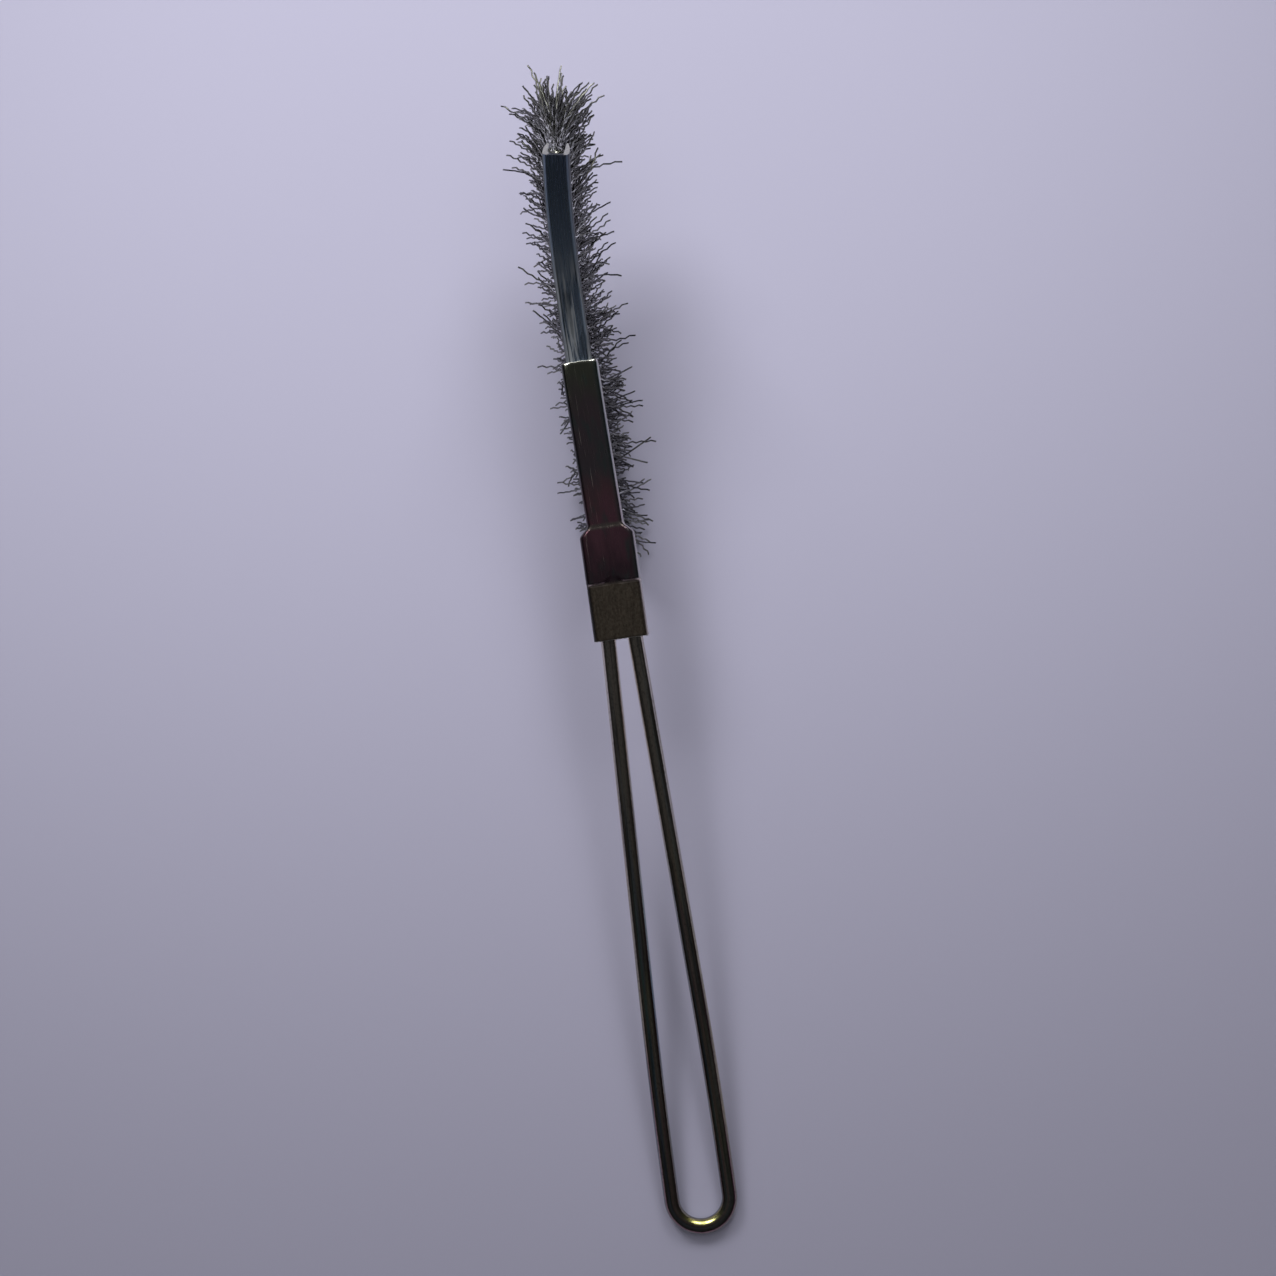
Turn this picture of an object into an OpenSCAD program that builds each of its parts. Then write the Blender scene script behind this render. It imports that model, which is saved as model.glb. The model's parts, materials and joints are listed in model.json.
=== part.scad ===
// Narrow wire brush: a hairpin wire handle, a folded ferrule and a curved strip brush.
// It lies back up, resting on the handle's loop and on the rearmost bristles.
// +X is to the right, +Y runs from the loop to the brush tip, +Z is up, in millimetres.

/* [Handle wire] */
// Diameter of the handle wire
wire_d = 3; // [2.8:0.1:3.2]
// Centre-line radius of the bend at the loop end
loop_r = 5.6; // [5.4:0.1:7]
// Length of the gently bowed stretch of each leg, next to the loop
bow_len = 40; // [20:1:45]
// Radius of that gentle bow
bow_r = 1200; // [1200:50:2400]
// Length of each leg from the middle of the loop to its end inside the ferrule
leg_len = 127; // [120:1:127]

/* [Ferrule] */
// Thickness of the ferrule's sheet
sheet_t = 1; // [0.8:0.1:1.1]
// Outside width of the rear part, round the two legs
rear_w = 10.6; // [10.6:0.1:12]
// Length of the tail that is pressed down on the legs
tail_len = 10.8; // [8:0.1:12]
// Length from the end of the tail to the crease where the narrow part starts
rear_len = 22; // [20:0.5:24]
// Length over which the rear part narrows to the front part
shoulder_len = 2.4; // [2:0.1:4]
// How far the back plate of the wide part stands above the tail
tail_step = 0.57; // [0.3:0.01:0.7]
// Outside radius of the sheet's folded edges
fold_r = 1.2; // [1:0.1:1.4]
// Length of the narrow part, from the crease to its front edge
front_len = 32; // [28:0.1:36]
// Upward bend of the narrow part against the handle, in degrees
front_bend = 2; // [0:0.5:5]
// Depth of the narrow part, from its back to its crimped lips
front_depth = 6.4; // [6.4:0.1:6.8]
// Width of the slot between the crimped lips
lip_slot = 3.9; // [3.8:0.1:4.2]
// Width of the seam under the wide part
seam_w = 0.3; // [0.2:0.1:0.6]

/* [Strip channel] */
// Outside width of the U channel
channel_w = 5.1; // [5.1:0.1:5.3]
// Outside depth of the U channel
channel_h = 4.9; // [4.7:0.05:4.9]
// Thickness of the channel's sheet
channel_t = 0.7; // [0.6:0.05:0.7]
// Outside radius of the channel's two bends
channel_r = 0.9; // [0.8:0.1:1]
// How far each wall leans in at the mouth
crimp = 0.15; // [0.05:0.05:0.15]
// Radius of the curve of the strip in front of the ferrule, at its back
strip_r = 58.5; // [55:0.5:90]
// Angle through which the strip curves up, in degrees
strip_turn = 39; // [20:1:42]
// Diameter of the core wire that the bristles are folded round
core_d = 2.6; // [2.2:0.1:2.6]

/* [Bristles] */
// Diameter of one bristle wire
bristle_d = 0.3; // [0.2:0.05:0.3]
// Length of a bristle from the core to its tip
bristle_len = 25.7; // [22:0.1:27]
// Share by which the shortest bristles fall short of that length
trim_spread = 0.04; // [0:0.01:0.1]
// Number of bristle groups along the strip
group_count = 16; // [8:1:20]
// Number of folded wires in a group
wires_in_group = 9; // [4:1:9]
// Smallest turn of a bristle from core to tip, in degrees
splay_min = 2; // [2:1:12]
// Largest turn of a bristle from core to tip, in degrees
splay_max = 38; // [30:1:40]
// Forward lean of the last wire at the tip of the strip, in degrees
tip_lean = 20; // [0:1:22]
// Backward lean of the first wire at the rear of the strip, in degrees
rear_lean = 14; // [0:1:16]

/* [Rest] */
// Tilt of the handle at which its loop and the rear bristles both touch the ground
rest_tilt = 10; // [8:0.1:12]

/* [Hidden] */
$fn = 48;
gap = 0.03;                // clearance between pieces that are pressed together
past = 1;                  // how far a cutting shape runs past a face
joint_proud = 0.004;       // how far the ball that joins a leg's two stretches stands out
wire_r = wire_d / 2;
bristle_r = bristle_d / 2;
core_r = core_d / 2;

bow_angle = bow_len / bow_r * 180 / PI;
leg_straight = (leg_len - bow_r * sin(bow_angle)) / cos(bow_angle);

crease_y = 131;            // the crease, measured from the middle of the loop
tail_y = crease_y - rear_len;
step_y = tail_y + tail_len;
taper_y = crease_y + 0.5;  // where the shoulder has reached the narrow width
inner_z = wire_r + gap;
tail_z = inner_z + sheet_t;
wide_z = tail_z + tail_step;
channel_fit_w = channel_w + 2 * gap;
front_w = channel_fit_w + 2 * sheet_t;

strip_start = 0.5;         // from the crease to the rear end of the strip
strip_straight = front_len - strip_start + 0.2;
strip_len = strip_straight + strip_r * strip_turn * PI / 180;
fold_bristle_r = core_r + bristle_r + 0.05;
core_z = -(channel_t + 0.05 + bristle_r + fold_bristle_r);

wire_count = group_count * wires_in_group;
first_wire = 0.9;          // from the rear end of the strip to the first bristle wire
last_wire = strip_len - 0.3;
rear_fan = 12;             // length at the rear of the strip over which the wires lean back
tip_fan = 15;              // length at the tip of the strip over which the wires lean forward
golden = (sqrt(5) - 1) / 2;

// Part of x after the decimal point
function part_of(x) = x - floor(x);

// Even but unrepeated spread over 0 to 1 for wire i
function spread(i, shift = 0) = part_of(i * golden + shift);

// Where the strip's back is at distance s from its rear end, as [y, z], and its angle there
function strip_angle(s) = max(0, s - strip_straight) / strip_r * 180 / PI;
function strip_point(s) = [
    min(s, strip_straight) + strip_r * sin(strip_angle(s)),
    strip_r * (1 - cos(strip_angle(s)))
];

// Place, lean and length of bristle wire i, and the turn and bend radius of its legs.
// side is 1 on the right and -1 on the left.
function wire_place(i) = first_wire + (last_wire - first_wire) * i / (wire_count - 1);
function wire_lean(s) =
    tip_lean * pow(max(0, s - strip_len + tip_fan) / tip_fan, 2)
    - rear_lean * pow(max(0, rear_fan - s) / rear_fan, 2);
function leg_turn(i, side) = splay_min + (splay_max - splay_min) * spread(i, side * 0.2);
function wire_len(i) = bristle_len * (1 - trim_spread * spread(i, 0.5));
function leg_bend(i, side) = round(wire_len(i) * 180 / PI / leg_turn(i, side));

// Where the core is inside the wire's own tilted plane, and the tip's place in the handle's frame
function turned(p, a) = [p[0] * cos(a) - p[1] * sin(a), p[0] * sin(a) + p[1] * cos(a)];
function leg_drop(i, side) = leg_bend(i, side) * sin(wire_len(i) / leg_bend(i, side) * 180 / PI);
function tip_in_strip(i, side) =
    let (s = wire_place(i), a = strip_angle(s))
    strip_point(s) + turned([0, core_z], a) + turned([0, -leg_drop(i, side)], a + wire_lean(s));
function strip_to_handle(p) =
    [crease_y, wide_z] + turned(p + [strip_start, -sheet_t - gap], front_bend);
function tip_at_rest(i, side) = turned(strip_to_handle(tip_in_strip(i, side)), rest_tilt);

// The origin is under the middle of the whole brush
tip_reach = max([for (i = [0 : wire_count - 1], side = [-1, 1]) tip_at_rest(i, side)[0]]);
loop_reach = loop_r * cos(rest_tilt) + wire_r;
handle_y = (loop_reach - tip_reach) / 2;
handle_z = wire_r + loop_r * sin(rest_tilt);

function group_name(g) = str("bristles_", g < 9 ? "0" : "", g + 1);

// ---- frames ----

// From the handle's frame, with the loop's middle at its origin, to the resting brush
module at_rest() {
    translate([0, handle_y, handle_z])
        rotate([rest_tilt, 0, 0])
            children();
}

// From the ferrule's narrow part, with the crease at its origin, to the resting brush
module in_front_part() {
    at_rest()
        translate([0, crease_y, wide_z])
            rotate([front_bend, 0, 0])
                children();
}

// From the strip, with its rear end's back at its origin, to the resting brush
module in_strip() {
    in_front_part()
        translate([0, strip_start, -sheet_t - gap])
            children();
}

// ---- shared shapes ----

// A profile in x and z, drawn out along +Y from y0 to y1
module along_y(y0, y1) {
    translate([0, y1, 0])
        rotate([90, 0, 0])
            linear_extrude(y1 - y0)
                children();
}

// A rectangle from z0 to z1, centred on x, with corners of radius r
module rounded_box(w, z0, z1, r) {
    translate([-w / 2, z0 + r])
        square([w, z1 - z0 - 2 * r]);
    translate([-w / 2 + r, z0])
        square([w - 2 * r, z1 - z0]);
    for (x = [-1, 1], z = [z0 + r, z1 - r])
        translate([x * (w / 2 - r), z])
            circle(r);
}

// An outline in y and z, drawn out across the brush to the width w
module across(w) {
    translate([-w / 2, 0, 0])
        rotate([90, 0, 90])
            linear_extrude(w)
                children();
}

// ---- handle ----

// The right-hand leg: a gentle bow next to the loop, then a straight stretch
module leg() {
    translate([loop_r - bow_r, 0, 0]) {
        rotate_extrude(angle = bow_angle)
            translate([bow_r, 0])
                circle(d = wire_d);
        rotate([0, 0, bow_angle])
            translate([bow_r, 0, 0]) {
                rotate([-90, 0, 0])
                    cylinder(d = wire_d, h = leg_straight);
                sphere(r = wire_r + joint_proud);
            }
    }
}

module handle_wire() {
    color("olivedrab")
        at_rest() {
            leg();
            mirror([1, 0, 0])
                leg();
            rotate_extrude(angle = 180, start = 180)
                translate([loop_r, 0])
                    circle(d = wire_d);
        }
}

// ---- ferrule ----

// Side outline of the rear part: pressed tail, short ramp and wide part
module rear_side(y0, y1, low, tail_top, wide_top) {
    polygon([
        [y0, low],
        [y1, low],
        [y1, wide_top],
        [step_y + tail_step, wide_top],
        [step_y, tail_top],
        [y0, tail_top]
    ]);
}

// Plan of the rear part: parallel sides that narrow at the shoulder
module rear_plan(y0, y1, wide, narrow) {
    polygon([
        [-wide / 2, y0],
        [wide / 2, y0],
        [wide / 2, taper_y - shoulder_len],
        [narrow / 2, y1],
        [-narrow / 2, y1],
        [-wide / 2, taper_y - shoulder_len]
    ]);
}

module rear_outside() {
    intersection() {
        across(rear_w)
            rear_side(tail_y, taper_y, -tail_z, tail_z, wide_z);
        translate([0, 0, -tail_z])
            linear_extrude(tail_z + wide_z)
                rear_plan(tail_y, taper_y, rear_w, front_w);
        union() {
            along_y(tail_y, step_y)
                rounded_box(rear_w, -tail_z, tail_z, fold_r);
            along_y(step_y, taper_y)
                rounded_box(rear_w, -tail_z, wide_z, fold_r);
        }
    }
}

module rear_inside() {
    intersection() {
        across(rear_w)
            rear_side(tail_y - past, taper_y + past, -inner_z, inner_z, inner_z + tail_step);
        translate([0, 0, -inner_z])
            linear_extrude(2 * inner_z + tail_step)
                rear_plan(tail_y - past, taper_y + past, rear_w - 2 * sheet_t, channel_fit_w);
    }
}

// The narrow part in its own frame, from just behind the crease to the front edge
module front_outside() {
    along_y(-0.3, front_len)
        rounded_box(front_w, -front_depth, 0, fold_r);
}

module front_inside() {
    along_y(-0.6, front_len + past) {
        translate([-channel_fit_w / 2, -sheet_t - channel_h - 2 * gap])
            square([channel_fit_w, channel_h + 2 * gap]);
        translate([-lip_slot / 2, -front_depth - past])
            square([lip_slot, front_depth]);
    }
}

module ferrule() {
    color("dimgray")
        at_rest()
            difference() {
                union() {
                    rear_outside();
                    translate([0, crease_y, wide_z])
                        rotate([front_bend, 0, 0])
                            front_outside();
                }
                rear_inside();
                translate([0, crease_y, wide_z])
                    rotate([front_bend, 0, 0])
                        front_inside();
                translate([-seam_w / 2, tail_y - past, -tail_z - past])
                    cube([seam_w, rear_len + past, past + sheet_t + gap / 2]);
            }
}

// ---- strip brush ----

// The channel's section, with its back on z = 0 and its mouth down
module channel_profile() {
    lean_z = core_z + core_r;
    half = channel_w / 2;
    difference() {
        union() {
            translate([-half + channel_r, -2 * channel_r])
                square([channel_w - 2 * channel_r, 2 * channel_r]);
            for (x = [-1, 1])
                translate([x * (half - channel_r), -channel_r])
                    circle(channel_r);
            polygon([
                [-half, -channel_r],
                [half, -channel_r],
                [half, lean_z],
                [half - crimp, -channel_h],
                [crimp - half, -channel_h],
                [-half, lean_z]
            ]);
        }
        polygon([
            [channel_t - half, -channel_t],
            [half - channel_t, -channel_t],
            [half - channel_t, lean_z],
            [half - channel_t - crimp, -channel_h - past],
            [channel_t + crimp - half, -channel_h - past],
            [channel_t - half, lean_z]
        ]);
    }
}

// Draws a section out along the strip: straight in the ferrule, then curving up
module along_strip() {
    along_y(0, strip_straight)
        children();
    translate([0, strip_straight, strip_r])
        rotate([0, 90, 0])
            rotate_extrude(angle = strip_turn)
                translate([strip_r, 0])
                    rotate(90)
                        children();
}

module strip_channel() {
    color("lightsteelblue")
        in_strip()
            along_strip()
                channel_profile();
}

module core_wire() {
    color("slategray")
        in_strip()
            along_strip()
                translate([0, core_z])
                    circle(d = core_d);
}

// The right-hand leg of a folded wire: it leaves the core straight down and curves outwards
module bristle_leg(i, side) {
    bend = leg_bend(i, side);
    translate([fold_bristle_r + bend, 0, 0])
        rotate([90, 0, 0])
            rotate_extrude(angle = wire_len(i) / bend * 180 / PI, start = 180)
                translate([bend, 0])
                    circle(d = bristle_d);
}

// Bristle wire i, folded over the core, at its place on the strip
module bristle_wire(i) {
    s = wire_place(i);
    p = strip_point(s);
    translate([0, p[0], p[1]])
        rotate([strip_angle(s), 0, 0])
            translate([0, 0, core_z])
                rotate([wire_lean(s), 0, 0]) {
                    rotate([90, 0, 0])
                        rotate_extrude(angle = 180)
                            translate([fold_bristle_r, 0])
                                circle(d = bristle_d);
                    bristle_leg(i, 1);
                    mirror([1, 0, 0])
                        bristle_leg(i, -1);
                }
}

module bristle_group(g) {
    color("gray")
        in_strip()
            for (i = [g * wires_in_group : (g + 1) * wires_in_group - 1])
                bristle_wire(i);
}

handle_wire();
ferrule();
strip_channel();
core_wire();
for (g = [0 : group_count - 1])
    bristle_group(g);
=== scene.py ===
import json
import math

import bmesh
import bpy
from mathutils import Euler, Matrix, Vector, noise


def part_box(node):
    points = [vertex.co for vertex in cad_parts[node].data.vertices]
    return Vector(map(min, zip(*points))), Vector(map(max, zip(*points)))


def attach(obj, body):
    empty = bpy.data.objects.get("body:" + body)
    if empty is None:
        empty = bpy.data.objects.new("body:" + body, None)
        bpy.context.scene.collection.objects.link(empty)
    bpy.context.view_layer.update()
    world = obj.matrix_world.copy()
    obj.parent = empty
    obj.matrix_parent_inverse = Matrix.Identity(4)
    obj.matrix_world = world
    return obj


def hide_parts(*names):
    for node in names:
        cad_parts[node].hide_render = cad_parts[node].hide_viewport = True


# Narrow wire brush: hairpin wire handle, folded ferrule and curved strip brush with crimped bristles.
# It lies back up on a pale floor. Shapes are worked out in millimetres in the brush's own frames
# and become metres in the row frame: +Y from the loop to the brush tip, +Z up, +X to the right.

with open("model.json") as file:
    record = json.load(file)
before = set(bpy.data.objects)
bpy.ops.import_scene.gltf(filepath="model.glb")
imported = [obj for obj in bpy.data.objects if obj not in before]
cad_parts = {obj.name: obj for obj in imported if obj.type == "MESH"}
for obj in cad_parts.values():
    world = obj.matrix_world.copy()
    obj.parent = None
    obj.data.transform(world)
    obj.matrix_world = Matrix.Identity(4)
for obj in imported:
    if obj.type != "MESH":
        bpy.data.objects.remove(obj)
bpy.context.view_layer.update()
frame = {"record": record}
MM = 0.001

# ---- sizes in millimetres, the same as the CAD's ----

WIRE_R = 1.5                # handle wire
LOOP_R = 5.6                # centre line of the bend at the loop end
BOW_LEN = 40                # gently bowed stretch of each leg
BOW_R = 1200
LEG_LEN = 127
HANDLE_HALF = LEG_LEN + math.pi / 2 * LOOP_R    # from a leg's end to the loop's middle, along the wire

TAIL_Y = 109                # the ferrule's rear end, measured from the middle of the loop
STEP_Y = 119.8              # where the tail steps up to the wide part
CREASE_Y = 131              # where the narrow part starts
SHOULDER_LEN = 2.4
FRONT_LEN = 32
REAR_HALF = 5.3             # half the outside width of the rear part
FRONT_HALF = 3.58           # half the outside width of the narrow part
TAIL_Z = 2.53               # back of the tail above the wires' centre
WIDE_Z = 3.10               # back of the wide part
FRONT_DEPTH = 6.4
FOLD_R = 1.2
SHEET_T = 1.0
SEAM_HALF = 0.15            # half the seam under the wide part
LIP_HALF = 1.95             # half the slot under the narrow part

CHANNEL_HALF = 2.55
CHANNEL_H = 4.9
CHANNEL_T = 0.7
MOUTH_SPREAD = 0.45         # how far the shears spread the walls inwards at the tip
STRIP_START = 0.5           # from the crease to the rear end of the strip
STRIP_GAP = 1.03            # from the ferrule's back to the strip's back
STRIP_STRAIGHT = 31.7
STRIP_R = 58.5
STRIP_TURN = math.radians(39)
STRIP_LEN = STRIP_STRAIGHT + STRIP_R * STRIP_TURN
CORE_R = 1.3
CORE_Z = -2.4               # centre of the core wire under the strip's back
CORE_RECESS = 1.2           # how far the core wire ends inside the channel's tip

CHANNEL_OUTER_R = 1.0       # rounding of the channel's back
CHANNEL_INNER_R = 0.35
DULL_END = 55               # how far along the strip handling has dulled the zinc
DULL_FADE = 8.0             # the stretch over which that begins

SET_LEAN = -0.022           # the strip has a slight sideways set: it starts off to the left
SET_TIP = 2.42              # and turns back to the right towards its tip

BRISTLE_R = 0.15
BRISTLE_LEN = 25.3          # a leg's free length
BRISTLE_POINTS = 25         # points along half a folded bristle
FOLD_STEPS = 3              # of which these lie round the core
FIRST_WIRE = 0.3            # from the rear end of the strip
LAST_WIRE = STRIP_LEN - 0.2
GROUPS = 16
GROUP_LEN = (LAST_WIRE - FIRST_WIRE) / GROUPS

# ---- frames ----

mounts = {m["name"]: m for m in frame["record"]["mounts"]}


def tilt_of(mount):
    """Slope of a back-up face from its outward direction, in radians"""
    return math.atan2(-mount["axis"][1], mount["axis"][2])


HANDLE_TILT = tilt_of(mounts["hanging_loop"])
FRONT_BEND = tilt_of(mounts["ferrule_back"]) - HANDLE_TILT
wire_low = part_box("handle_wire")[0]
LOOP_Y = wire_low.y / MM + WIRE_R + LOOP_R * math.cos(HANDLE_TILT)
LOOP_Z = wire_low.z / MM + WIRE_R + LOOP_R * math.sin(HANDLE_TILT)

HANDLE = (
    Matrix.Scale(MM, 4)
    @ Matrix.Translation((0, LOOP_Y, LOOP_Z))
    @ Matrix.Rotation(HANDLE_TILT, 4, "X")
)
FRONT = (
    HANDLE
    @ Matrix.Translation((0, CREASE_Y, WIDE_Z))
    @ Matrix.Rotation(FRONT_BEND, 4, "X")
)
STRIP = FRONT @ Matrix.Translation((0, STRIP_START, -STRIP_GAP))


def smooth(x):
    """0 below 0, 1 above 1 and an S between them"""
    x = min(1.0, max(0.0, x))
    return x * x * (3 - 2 * x)


def sideways(s):
    """How far the strip's sideways set moves it at distance s from its rear end"""
    return SET_LEAN * s + SET_TIP * (s / STRIP_LEN) ** 4


def strip_place(s):
    """The strip's back at distance s from its rear end: (y, z) and the slope there"""
    turn = max(0.0, s - STRIP_STRAIGHT) / STRIP_R
    y = min(s, STRIP_STRAIGHT) + STRIP_R * math.sin(turn)
    return y, STRIP_R * (1 - math.cos(turn)), turn


# ---- node trees ----


class Nodes:
    """A node tree that is being built"""

    def __init__(self, tree):
        self.tree = tree

    def add(self, kind, values=None, **settings):
        node = self.tree.nodes.new(kind)
        for name, value in settings.items():
            setattr(node, name, value)
        for key, value in (values or {}).items():
            self.put(node.inputs[key], value)
        return node

    def put(self, socket, value):
        if isinstance(value, bpy.types.NodeSocket):
            self.tree.links.new(value, socket)
        else:
            socket.default_value = value

    def math(self, operation, *values):
        node = self.add("ShaderNodeMath", operation=operation)
        for socket, value in zip(node.inputs, values):
            self.put(socket, value)
        return node.outputs[0]

    def plus(self, a, b):
        return self.math("ADD", a, b)

    def minus(self, a, b):
        return self.math("SUBTRACT", a, b)

    def times(self, a, b):
        return self.math("MULTIPLY", a, b)

    def over(self, a, b):
        return self.math("DIVIDE", a, b)

    def power(self, a, b):
        return self.math("POWER", a, b)

    def larger(self, a, b):
        return self.math("MAXIMUM", a, b)

    def smaller(self, a, b):
        return self.math("MINIMUM", a, b)

    def parts(self, vector):
        """A vector's X, Y and Z"""
        return self.add("ShaderNodeSeparateXYZ", {"Vector": vector}).outputs

    def vector(self, x, y, z):
        return self.add("ShaderNodeCombineXYZ", {"X": x, "Y": y, "Z": z}).outputs[0]


class ShapeNodes(Nodes):
    """A Geometry Nodes tree with named inputs"""

    KINDS = {float: "NodeSocketFloat", int: "NodeSocketInt", tuple: "NodeSocketVector"}

    def __init__(self, name, **inputs):
        super().__init__(bpy.data.node_groups.new(name, "GeometryNodeTree"))
        face = self.tree.interface
        face.new_socket(name="Geometry", in_out="INPUT", socket_type="NodeSocketGeometry")
        face.new_socket(name="Geometry", in_out="OUTPUT", socket_type="NodeSocketGeometry")
        for title, value in inputs.items():
            socket = face.new_socket(name=title, in_out="INPUT", socket_type=self.KINDS[type(value)])
            socket.default_value = value
        face.new_socket(name="material", in_out="INPUT", socket_type="NodeSocketMaterial")
        self.source = self.add("NodeGroupInput").outputs

    def __getitem__(self, name):
        return self.source[name]

    def random(self, low, high, identity, shift):
        """A random number for each identity, unlike that of another shift"""
        node = self.add("FunctionNodeRandomValue", data_type="FLOAT")
        sockets = {s.identifier: s for s in node.inputs}
        self.put(sockets["Min_001"], low)
        self.put(sockets["Max_001"], high)
        self.put(sockets["ID"], identity)
        self.put(sockets["Seed"], self.plus(self["seed"], shift))
        return next(o for o in node.outputs if o.identifier == "Value_001")

    def finish(self, geometry):
        real = self.add("GeometryNodeRealizeInstances", {"Geometry": geometry})
        smoothed = self.add("GeometryNodeSetShadeSmooth", {"Geometry": real.outputs[0]})
        painted = self.add(
            "GeometryNodeSetMaterial", {"Geometry": smoothed.outputs[0], "Material": self["material"]}
        )
        self.add("NodeGroupOutput", {"Geometry": painted.outputs[0]})
        return self.tree


def shape_from(name, tree, base, **values):
    """The mesh that a tree makes from a base mesh, as a new object. The tree's inputs are set by name"""
    maker = bpy.data.objects.new(name + "_maker", base)
    bpy.context.scene.collection.objects.link(maker)
    modifier = maker.modifiers.new("shape", "NODES")
    modifier.node_group = tree
    sockets = {s.name: s.identifier for s in tree.interface.items_tree if s.in_out == "INPUT"}
    for title, value in values.items():
        modifier[sockets[title]] = value
    shaped = maker.evaluated_get(bpy.context.evaluated_depsgraph_get())
    mesh = bpy.data.meshes.new_from_object(shaped)
    mesh.name = name
    maker.modifiers.remove(modifier)
    bpy.data.objects.remove(maker)
    piece = bpy.data.objects.new(name, mesh)
    bpy.context.scene.collection.objects.link(piece)
    return piece


def path_mesh(name, points):
    """An open line of points as a mesh of edges"""
    mesh = bpy.data.meshes.new(name)
    mesh.from_pydata(points, [(i, i + 1) for i in range(len(points) - 1)], [])
    return mesh


# ---- materials ----


class Finish(Nodes):
    """A metal's material. Its patterns lie on the piece's unrolled attribute: across, depth, along"""

    def __init__(self, name):
        self.material = bpy.data.materials.new(name)
        self.material.use_nodes = True
        super().__init__(self.material.node_tree)
        self.shader = self.tree.nodes["Principled BSDF"]
        self.shader.inputs["Metallic"].default_value = 1.0
        self.place = self.add("ShaderNodeAttribute", attribute_name="unrolled").outputs["Vector"]

    def noise(self, scale, detail=3.0, roughness=0.5, shift=0.0, distortion=0.0):
        """Noise over the piece; scale is in marks per millimetre across, in depth and along"""
        mapping = self.add(
            "ShaderNodeMapping", {"Vector": self.place, "Scale": scale, "Location": (shift, shift, shift)}
        )
        node = self.add(
            "ShaderNodeTexNoise",
            {
                "Vector": mapping.outputs[0],
                "Scale": 1.0,
                "Detail": detail,
                "Roughness": roughness,
                "Distortion": distortion,
            },
        )
        return node.outputs["Fac"]

    def ramp(self, value, *stops):
        """Colours at places from 0 to 1"""
        node = self.add("ShaderNodeValToRGB", {"Fac": value})
        elements = node.color_ramp.elements
        while len(elements) < len(stops):
            elements.new(0.5)
        for element, (place, colour) in zip(elements, stops):
            element.position = place
            element.color = (*colour, 1.0)
        return node.outputs["Color"]

    def fit(self, value, low, high, to_low=0.0, to_high=1.0):
        node = self.add(
            "ShaderNodeMapRange",
            {"Value": value, "From Min": low, "From Max": high, "To Min": to_low, "To Max": to_high},
        )
        return node.outputs[0]

    def between(self, value, start, full, fade, end):
        """1 from full to fade, falling to 0 at start and at end"""
        return self.times(self.fit(value, start, full), self.fit(value, end, fade))

    def mix(self, share, first, second):
        node = self.add("ShaderNodeMix", data_type="RGBA", blend_type="MIX", clamp_result=False)
        sockets = {s.identifier: s for s in node.inputs}
        self.put(sockets["Factor_Float"], share)
        for key, colour in (("A_Color", first), ("B_Color", second)):
            if isinstance(colour, tuple):
                colour = (*colour, 1.0)
            self.put(sockets[key], colour)
        return next(o for o in node.outputs if o.identifier == "Result_Color")

    def bump(self, height, distance, strength=1.0, under=None):
        values = {"Height": height, "Distance": distance, "Strength": strength}
        if under is not None:
            values["Normal"] = under
        return self.add("ShaderNodeBump", values).outputs[0]

    def finish(self, colour, roughness, normal):
        self.put(self.shader.inputs["Base Color"], colour)
        self.put(self.shader.inputs["Roughness"], roughness)
        self.put(self.shader.inputs["Normal"], normal)
        return self.material


SMOKE = (0.28, 0.27, 0.24)
BRONZE = (0.40, 0.34, 0.26)
MAROON = (0.38, 0.20, 0.25)
SLATE = (0.24, 0.29, 0.36)
TEAL = (0.16, 0.34, 0.31)
DULL = (0.10, 0.09, 0.08)
GOLD = (0.95, 0.93, 0.32)
PAINTED_LIGHT_BRONZE = (0.78, 0.70, 0.60)
PALE_STREAK = (0.66, 0.62, 0.54)
DARK_STREAK = (0.05, 0.05, 0.055)
SPECK = (0.06, 0.05, 0.05)
OLIVE_DARK = (0.17, 0.135, 0.105)
OLIVE_LIGHT = (0.31, 0.26, 0.205)
SCRATCH = (0.60, 0.59, 0.50)
PAINTED_STEP_HIGHLIGHT = (0.72, 0.60, 0.52)
CREASE_HIGHLIGHT = (0.58, 0.53, 0.46)
WALL_REFLECTION = (0.62, 0.58, 0.54)
BARE_CORNER_GLINT = (0.92, 0.93, 0.84)
PAINTED_DARK_FOLD = (0.03, 0.03, 0.03)
CUT_STAIN = (0.09, 0.10, 0.12)
ZINC_DARK = (0.34, 0.46, 0.64)
ZINC_LIGHT = (0.46, 0.58, 0.76)
ZINC_DULL = (0.60, 0.64, 0.70)
ZINC_STAIN = (0.07, 0.09, 0.12)
GRIME_AND_SHADE = (0.07, 0.075, 0.085)
BRISTLE_DIRT = (0.08, 0.07, 0.06)
BRISTLE_GLINT = (0.95, 0.97, 0.90)


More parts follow.
